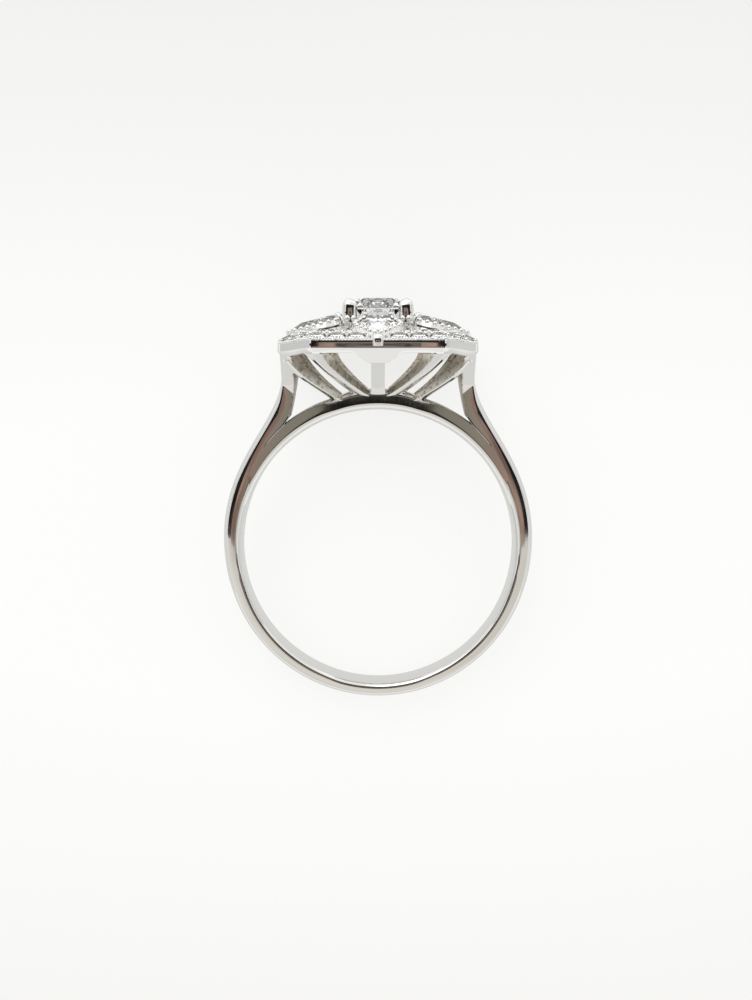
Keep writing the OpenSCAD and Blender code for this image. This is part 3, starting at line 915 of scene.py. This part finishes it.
# %% Drilling the seats
light_deep, flare = 0.9, 0.1
petal_light_r, centre_light_r = 1.05, 0.6


def seat_drill(r):
    """The hollow for a round stone of radius r."""
    wall, open_r, g = r + seat_gap, lower_share * r + seat_gap, girdle_share * r
    low = -g - (1 - lower_share) * r * np.tan(pavilion)
    cone = [(open_r, low - light_deep), (open_r, low), (wall, -g)]
    return turned_rings(cone + [(wall, 0.02), (wall + flare, r)], 40)


def drilled(mesh, cutter_mesh):
    """The mesh with the cutter taken away, as a new mesh with no modifier left on it."""
    body, cutter = show("body", mesh), show("cutter", cutter_mesh)
    cut = body.modifiers.new("drill", "BOOLEAN")
    cut.operation, cut.solver, cut.object = "DIFFERENCE", "EXACT", cutter
    bpy.context.view_layer.update()
    seen = body.evaluated_get(bpy.context.evaluated_depsgraph_get())
    result = bpy.data.meshes.new_from_object(seen)
    for o in (body, cutter):
        bpy.data.objects.remove(o)
    result.name = mesh.name + "_drilled"
    result.shade_smooth()
    result.set_sharp_from_angle(angle=float(np.radians(plate_crease)))
    return result


petal_drill = pear_rings([(petal_light_r, -1.9), (petal_light_r, 1.2)])
round_seats = ((border_seats, border_d), (between_seats, between_d), (corner_seats, corner_d))
drills = [skin(put(seat_drill(d / 2), where)) for seats, d in round_seats for where in seats]
drills += [skin(put(petal_drill, where)) for where in petal_seats]
drills.append(skin(turned_rings([(centre_light_r, 11.0), (centre_light_r, 14.0)], 48)))
drilled_plate = drilled(plate_mesh, mesh_of("drills", joined(drills)))
place(drilled_plate, mirror_gold, "ring_mount", "white_gold")

# %% [markdown]
# Small stones are held by grains, beads of metal raised with a graver beside each stone and
# rounded over its edge. The rim's upper edge carries a finer row, the millgrain. Both are
# one small dome, repeated: its points are computed once and moved to every place at once.

# %% Grains and millgrain


def beads(places, radius):
    """Copies of a small ball at each place, in one mesh."""
    steps, turns = 7, 12
    tilt = np.linspace(0, np.pi, steps)[1:-1, None]
    a = np.linspace(0, 2 * np.pi, turns, endpoint=False)
    points, faces = skin(rings_at(np.sin(tilt) * np.ones(turns), a, np.cos(tilt)))
    points[-2:] = [[0, 0, 1], [0, 0, -1]]
    places = np.asarray(places)
    moved = (places[:, None] + radius * points[None]).reshape(-1, 3)
    shift = len(points) * np.arange(len(places))[:, None, None]
    return moved, [(group[None] + shift).reshape(-1, group.shape[1]) for group in faces]


def grains_round(seats, distance, lift_up):
    """Four grain places round each seat, at the corners between neighbouring stones."""
    a = np.radians([45, 135, 225, 315])
    ring_points = np.column_stack([distance * np.cos(a), distance * np.sin(a), np.full(4, lift_up)])
    return np.vstack([put(ring_points, where) for where in seats])


grain_places = np.vstack([
    grains_round(border_seats, distance=border_d / 2 + 0.05, lift_up=0.07),
    grains_round(between_seats, distance=between_d / 2 + 0.05, lift_up=0.07),
    grains_round(corner_seats, distance=corner_d / 2 + 0.06, lift_up=0.08),
])


def evenly_along(line, count, start=0.0):
    """Places at even steps along a closed line, by its running length, from a share of a step."""
    line = np.vstack([line, line[:1]])
    length = np.concatenate([[0], np.cumsum(np.linalg.norm(np.diff(line, axis=0), axis=1))])
    spots = (np.arange(count) + start) / count * length[-1]
    return np.column_stack([np.interp(spots, length, line[:, i]) for i in range(3)])


def bead_row(inset, z, drop_share, count):
    """Places along the outline drawn in by an inset, lowered by a share of the rim's drop."""
    line = np.column_stack([outline(inset)[0] * bow[:, None], z - drop_share * drop])
    return evenly_along(line, count)


clear_of_petal, grain_r, mill_r, inner_mill_r = 1.75, 0.12, 0.092, 0.085
mill_places = bead_row(inset=0.085, z=rim_top_z + 0.055, drop_share=1, count=230)
inner_mill = bead_row(inset=border_w + 0.02, z=plate_z + 0.02, drop_share=0, count=190)
to_petals = [np.hypot(*(inner_mill - where[0])[:, :2].T) for where in petal_seats]
inner_mill = inner_mill[np.min(to_petals, axis=0) > clear_of_petal]
bead_work = (grain_places, grain_r), (mill_places, mill_r), (inner_mill, inner_mill_r)
solder("grains_and_millgrain", joined([beads(*row) for row in bead_work]), crease=60)

# %% [markdown]
# Each petal stone sits in a collar of its own shape, a thin wall with a ledge inside for the
# stone to rest on. Below it a narrower wall goes down to the plate, which leaves a dark slit:
# its walls are given painted shade, a dull dark tone that stands for the shadow in the slit.
# The profile is carried round the pear outline, so wall and ledge stay the same width
# all the way to the tip, which a scaled copy of the outline would not give.

# %% Petal collars
slit_z, slit_h, neck_in = -0.27, 0.11, 0.1
ledge_r, neck_r, foot_z = 0.84 * petal_r, petal_r - neck_in, -1.1
collar_section = rounded([
    (neck_r, slit_z), (petal_r + 0.24, slit_z), (petal_r + 0.21, slit_z + 0.1),
    (petal_r + 0.13, 0.05), (petal_r + 0.08, 0.09), (petal_r + 0.04, 0.03),
    (petal_r + 0.04, -0.15), (ledge_r, -0.15), (ledge_r, slit_z - 0.02), (neck_r, slit_z),
], 0.02)[:-1]
foot_section = np.array([
    (ledge_r, foot_z), (petal_r + 0.44, foot_z), (petal_r + 0.26, slit_z - slit_h),
    (neck_r, slit_z - slit_h), (neck_r, slit_z + 0.04), (ledge_r, slit_z + 0.04),
])
# The slit's walls are set to -1: painted shade, a dark tone for the shadow in the slit.
collar_wheel_and_shade = np.ones(len(collar_section))
collar_wheel_and_shade[0] = -1
foot_wheel_and_shade = np.array([1, 1, 1, -1, -1, 1])
collars, wheel_and_shade = [], []
for profile, reached_and_shaded in ((collar_section, collar_wheel_and_shade), (foot_section, foot_wheel_and_shade)):
    collars += [hoop(put(pear_rings(profile), where)) for where in petal_seats]
    wheel_and_shade.append(np.tile(np.repeat(reached_and_shaded, len(pear_turns)), len(petal_seats)))
solder("petal_collars", joined(collars), crease=40, polish_and_shade=np.concatenate(wheel_and_shade))

# %% [markdown]
# Along each collar small grains are raised over the stone's edge. They follow the pear
# outline at even steps, by the same running length as the millgrain.

# %% Grains along the petal collars
petal_grains, petal_grain_r = 20, 0.16
grain_line = pear_rings([(petal_r + 0.1, 0.04)])[0]
grain_spots = evenly_along(grain_line, petal_grains, start=0.5)
petal_beads = beads(np.vstack([put(grain_spots, where) for where in petal_seats]), petal_grain_r)
solder("petal_grains", petal_beads, crease=60)

# %% [markdown]
# A claw is a short post whose tip is pushed over the stone and rounded. Its section is an
# ellipse, broad side to the stone, and the tip closes as half an ellipsoid. The path
# bends inwards at the top, so the claw truly holds the girdle. Two beads at the foot of each
# centre claw stand where the neighbouring petals' collars lean against it.

# %% Claws
squareness = 0.62


def soft_square(values):
    """A sine or cosine to the power squareness, sign kept: 1 gives an ellipse, less a square."""
    return np.sign(values) * np.abs(values) ** squareness


def claw(path, broad, thin, direction, tip=0.4, spin=0.0):
    """A post along a path of points in the plane of direction and up.

    Its sections are soft squares of half widths broad and thin, turned by spin about the path.
    They shrink as a half ellipse over the last part, tip, of the path.
    """
    path = np.asarray(path)
    s = np.linspace(0, 1, 40)
    knots = np.linspace(0, 1, len(path))
    fine = np.column_stack([np.polyval(np.polyfit(knots, path[:, i], len(path) - 1), s) for i in (0, 1)])
    heading = np.gradient(fine, axis=0)
    heading /= np.linalg.norm(heading, axis=1, keepdims=True)
    direction = np.array([np.cos(direction), np.sin(direction), 0.0])
    sideways = np.array([-direction[1], direction[0], 0.0])
    inwards = heading[:, 1:2] * direction - heading[:, :1] * up_z
    last_part = np.clip((s - 1 + tip) / tip, 0, 0.999)
    shrink = np.sqrt(1 - last_part**2)[:, None, None]
    a = np.linspace(0, 2 * np.pi, 32, endpoint=False)
    u, v = broad * soft_square(np.cos(a)), thin * soft_square(np.sin(a))
    u, v = u * np.cos(spin) - v * np.sin(spin), u * np.sin(spin) + v * np.cos(spin)
    middle_line = fine[:, :1] * direction + fine[:, 1:] * up_z
    section_here = u[None, :, None] * sideways + v[None, :, None] * inwards[:, None]
    return skin(middle_line[:, None] + shrink * section_here)


claw_turn = np.radians(35)
centre_path = [(1.92, 12.9), (2.06, 13.8), (2.1, 14.5), (1.95, 15.12)]
four_ways = ((0, 1), (1, -1), (1, 1), (0, -1))
centre_turns = [(half * np.pi + side * claw_turn, side * claw_turn) for half, side in four_ways]
centre_claws = [
    claw(centre_path, broad=0.44, thin=0.46, direction=turn, tip=0.25, spin=spin)
    for turn, spin in centre_turns
]
basket_section = rounded([
    (1.5, 13.0), (1.7, 13.0), (1.86, 13.55), (1.72, 13.57), (1.6, 13.3), (1.5, 13.0),
], 0.03)[:-1]
basket = hoop(turned_rings(basket_section, 64))
inner_path = [(1.42, -0.9), (1.45, -0.2), (1.38, 0.22), (1.1, 0.38)]
inner_turns = [np.pi + side * np.radians(38) for side in (-1, 1)]
tip_path = np.array([(5.78, 0.0), (5.82, 0.25), (5.78, 0.42), (5.6, 0.6)])
bead_x, bead_y, bead_z, bead_r, bead_steps = 1.68, 1.62, 13.93, 0.2, (-0.21, 0.2)


def petal_claws():
    """Two claws at each petal's inner end, and one on the rim under its tip."""
    shapes = []
    for where in petal_seats:
        for turn in inner_turns:
            points, faces = claw(inner_path, broad=0.2, thin=0.19, direction=turn, tip=0.3)
            shapes.append((put(points, where), faces))
    for k in range(4):
        low = np.array([0.0, rim_edge_z + 0.1 - (rim_drop if k % 2 == 0 else 0.0)])
        shapes.append(claw(tip_path + low, broad=0.32, thin=0.27, direction=np.radians(90 * k)))
    return shapes


foot_beads = [
    (across * (bead_x + step), back * bead_y, bead_z)
    for across in (-1, 1) for back in (-1, 1) for step in bead_steps
]
claws = joined(centre_claws + [basket, beads(foot_beads, bead_r)] + petal_claws())
solder("claws_and_basket", claws, crease=50)

# %% [markdown]
# The small stones are cut again here as full brilliants, because the CAD keeps them simple.
# A brilliant is six levels of points: table, stars, girdle above and below, lower halves
# and the culet. Its faces join neighbouring levels, the same pattern eight times round.

# %% Small brilliants


def brilliant(r):
    """Points and faces of a brilliant of radius r.

    Each level is a ring of 8 or 16 points, at a share of the radius and at the height that
    the crown's or the pavilion's slope gives there.
    """
    half_step = np.cos(eighth / 2)
    g = girdle_share * r

    def level(share, z, count, offset):
        a = 2 * np.pi * (np.arange(count) + offset) / count
        return np.column_stack([share * r * np.cos(a), share * r * np.sin(a), np.full(count, z)])

    points = np.vstack([
        level(table_share, g + (1 - table_share) * r * np.tan(crown_slope), 8, 0),
        level(star_share, g + (1 - star_share * half_step) * r * np.tan(crown_slope), 8, 0.5),
        level(1, g, 16, 0), level(1, -g, 16, 0),
        level(lower_share, -g - (1 - lower_share * half_step) * r * np.tan(pavilion), 8, 0.5),
        [[0, 0, -g - r * np.tan(pavilion)]],
    ])
    stars, upper, lower, halves, culet = 8, 16, 32, 48, 56
    k, j = np.arange(8), np.arange(16)
    ahead, before = (k + 1) % 8, (k + 7) % 8
    first, second, third = 2 * k, 2 * k + 1, (2 * k + 2) % 16
    faces = [
        k[None], np.stack([k, stars + k, ahead], 1),
        np.stack([k, stars + before, upper + first, stars + k], 1),
        np.stack([stars + k, upper + first, upper + second], 1),
        np.stack([stars + k, upper + second, upper + third], 1),
        np.stack([upper + j, lower + j, lower + (j + 1) % 16, upper + (j + 1) % 16], 1),
        np.stack([halves + k, lower + second, lower + first], 1),
        np.stack([halves + k, lower + third, lower + second], 1),
        np.stack([np.full(8, culet), halves + k, lower + first, halves + before], 1),
    ]
    return outward(points, faces)


def stones_at(seats, r):
    """A brilliant in each seat."""
    points, faces = brilliant(r)
    return [(put(points, where), faces) for where in seats]


small_stones = joined(stones_at(border_seats, border_d / 2) + stones_at(between_seats, between_d / 2))
place(mesh_of("small_brilliants", small_stones, crease=1.0), diamond, "pave_diamonds", "diamond")

# %% [markdown]
# A plain pale floor and soft light, as in a light tent. The floor and everything else round
# the ring is a flat sheet that glows a little, with soft clouds in its tone, so that even a
# wide reflection isn't one dead colour. Lamps alone would light the floor, but a polished
# ring would mirror their shapes.

# %% Glowing sheets


def plain_material(name, colour, darker, scale, matt=0.0, glow=1.0):
    """A tone with soft clouds of a darker one.

    matt is the share that only scatters light, and glow the share that it sends out itself.
    """
    material, tree, shader = new_material(name)
    where = add_node(tree, "ShaderNodeTexCoord", (-1000, 0))["Object"]
    clouds = noise(tree, (-800, 0), where, scale, detail=2.0)
    clouds = ramp(tree, (-600, 0), clouds, low=0.35, high=0.65)
    tone = mix(tree, (-400, 0), clouds, (*darker, 1.0), (*colour, 1.0))
    feed(tree, shader, {
        "Roughness": 0.7, "Specular IOR Level": 0.1, "Emission Strength": glow,
        "Base Color": mix(tree, (-200, 0), matt, (0.0, 0.0, 0.0, 1.0), tone),
        "Emission Color": tone,
    })
    return material


def sheet_at(name, corners, material, *unseen_by):
    """A flat sheet through four points in metres, which isn't part of the ring.

    Some kinds of rays, such as camera or shadow, can be told to pass it by.
    """
    mesh = bpy.data.meshes.new(name)
    mesh.from_pydata([tuple(map(float, c)) for c in corners], [], [(0, 1, 2, 3)])
    mesh.materials.append(material)
    thing = show(name, mesh)
    for rays in unseen_by:
        setattr(thing, "visible_" + rays, False)
    return thing


def graded(thing, keep, middle_tone, start, stop):
    """Turns the glow to middle_tone near the finger hole.

    It does so where the distance from the hole's middle, along the axes that keep names with
    a 1, is under start millimetres, and leaves the glow as it is beyond stop.
    """
    tree = thing.data.materials[0].node_tree
    glow = tree.nodes["Principled BSDF"].inputs["Emission Color"]
    own_tone = glow.links[0].from_socket

    def vector_step(across, operation, *terms):
        row = (across, -400), dict(enumerate(terms))
        return add_node(tree, "ShaderNodeVectorMath", *row, operation=operation)

    where = add_node(tree, "ShaderNodeTexCoord", (-1000, -400))["Object"]
    moved = vector_step(-850, "SUBTRACT", where, tuple(map(float, hole_middle)))["Vector"]
    kept = vector_step(-700, "MULTIPLY", moved, keep)["Vector"]
    reach = vector_step(-550, "LENGTH", kept)["Value"]
    share = ramp(tree, (-400, -400), reach, start * mm, stop * mm)
    tree.links.new(mix(tree, (-200, -400), share, (*middle_tone, 1.0), own_tone), glow)


# %% [markdown]
# The floor glows, and right under the ring it glows brighter, a painted light that lifts the
# ring's own shadow there; further out it is a shade deeper. The metal doesn't mirror it: a second
# floor just below is there for reflections alone, greyer under the ring, a painted shadow of the
# ring, and bright further out. With one floor for both, either the picture's ground or the inside
# of the band would have the wrong tone.

# %% Floor
floor_half = 1.5
floor_corners = floor_half * np.array([(-1, -1, 0), (1, -1, 0), (1, 1, 0), (-1, 1, 0)])
pale = plain_material("pale_floor", (0.84, 0.84, 0.83), (0.82, 0.82, 0.81), 9.0, 0.3, 0.75)
floor = sheet_at("floor", floor_corners, pale, "glossy")
# Painted light: the floor's glow is brighter under the ring, to lift the ring's own shadow there.
graded(floor, (0.3, 1.0, 0.0), (1.0, 1.0, 0.99), 10, 45)
bright = plain_material("mirrored_floor", (0.95, 0.95, 0.94), (0.88, 0.88, 0.87), 9.0)
unseen = ("camera", "diffuse", "shadow", "transmission")
mirrored_floor = sheet_at("mirrored_floor", floor_corners - np.array([0.0, 0.0, mm]), bright, *unseen)
# Painted shadow: the reflection floor is greyer under the ring, as the ring's own shadow would make it.
graded(mirrored_floor, (1.0, 1.0, 0.0), (0.7, 0.7, 0.685), 18, 45)
print("floor", 2 * floor_half, "m wide")

# %% [markdown]
# Polished metal shows only what is around it, so the tent needs something dark in it too.
# Cards in front of the ring, seen by reflections alone, give the rim, the shoulders and the
# bridge their dark and warm stripes. Paler cards stand at the sides and overhead, and one
# bright ceiling is there for the stones only, whose sparkle needs it. No card is in the
# picture or casts a shadow. An image of a studio would do the same, less exactly.

# %% Cards


def card(name, low, high, look, *unseen_by):
    """A glowing rectangle between two opposite corners in upright millimetres."""
    low, high = np.array(low, dtype=float), np.array(high, dtype=float)
    u, v = np.flatnonzero(low != high)
    corners = np.tile(low, (4, 1))
    corners[[1, 2], u], corners[[2, 3], v] = high[u], high[v]
    hidden = ("camera", "diffuse", "shadow") + unseen_by
    return sheet_at(name, lay_down(corners), plain_material(name, *look), *hidden)


# Each look is a colour, a darker one, and how fine its clouds are.
black = (0.012, 0.011, 0.01), (0.004, 0.004, 0.004), 20.0
warm = (0.38, 0.25, 0.2), (0.16, 0.1, 0.085), 90.0
grey = (0.76, 0.73, 0.68), (0.62, 0.6, 0.55), 30.0
blush = (0.44, 0.3, 0.25), (0.26, 0.17, 0.15), 60.0
dusk = (0.19, 0.14, 0.135), (0.012, 0.01, 0.01), 420.0
side_grey = (0.68, 0.69, 0.68), (0.56, 0.57, 0.56), 10.0
ceiling = (1.7, 1.7, 1.7), (0.6, 0.6, 0.6), 28.0
sparkle = (3.6, 3.6, 3.5), (1.4, 1.4, 1.38), 34.0

# Name, left and right end, low, high, distance in front of the hole, and look.
middle_cards = (
    ("dark_card", -75, 75, -18, 77, 130, black),
    ("warm_card", -34, 34, -19, 29, 129, warm),
    ("grey_card", -75, 75, -95, -18.5, 130, grey),
    ("bridge_shade", -8.2, 8.2, -18, 4.6, 128, black),
    ("rim_dusk", -12.5, 12.5, 8, 16, 127.5, dusk),
)
# The same, but with the end nearer to the middle and the one further from it.
paired_cards = (
    ("rim_blush", 12, 24, 8, 16, 128, blush),
    ("rim_shade", 22, 36, 8, 29, 127, black),
    ("corner_shade", 30, 150, 8, 15, 126.5, black),
)
for name, left_end, right_end, low, high, ahead, look in middle_cards:
    ends = (left_end, -ahead, low), (right_end, -ahead, high)
    front_card = card(name, *ends, look, "transmission")
    if name == "warm_card":
        graded(front_card, (1.0, 0.0, 0.0), (0.22, 0.205, 0.165), 13, 21)
for m in (-1, 1):
    for name, near, far, low, high, ahead, look in paired_cards:
        left_end, right_end = sorted((m * near, m * far))
        card(name, (left_end, -ahead, low), (right_end, -ahead, high), look, "transmission")
    card("side_card", (m * 140, -135, -70), (m * 140, 60, 70), side_grey, "transmission")
card("light_box", (-45, -25, 70), (45, 60, 70), ceiling)
card("sparkle_box", (-90, -80, 72), (90, 80, 72), sparkle, "glossy")
print(len(middle_cards) + 2 * len(paired_cards), "cards in front of the ring")

# %% [markdown]
# The tent's own walls are an even, slightly warm white all round. One square lamp, high up
# beyond the cluster, adds the soft shadow that shows where the ring touches the floor. It is
# wide for its distance, so the shadow has no hard border, which a point lamp would give.

# %% Tent and key light
world = bpy.data.worlds.new("tent")
bpy.context.scene.world = world
world.use_nodes = True
walls = {"Color": (1.0, 0.995, 0.985, 1.0), "Strength": 0.87}
feed(world.node_tree, world.node_tree.nodes["Background"].inputs, walls)

key_place = np.array([-0.12, 0.28, 0.34])
key = bpy.data.lights.new("key", "AREA")
key.size, key.energy = 0.3, 0.25
show("key", key).matrix_world = facing(key_place, -key_place, np.array([0.0, 1.0, 0.01]))
bpy.context.scene.view_settings.view_transform = "Standard"
print("key light", round(float(np.linalg.norm(key_place)), 2), "m away")
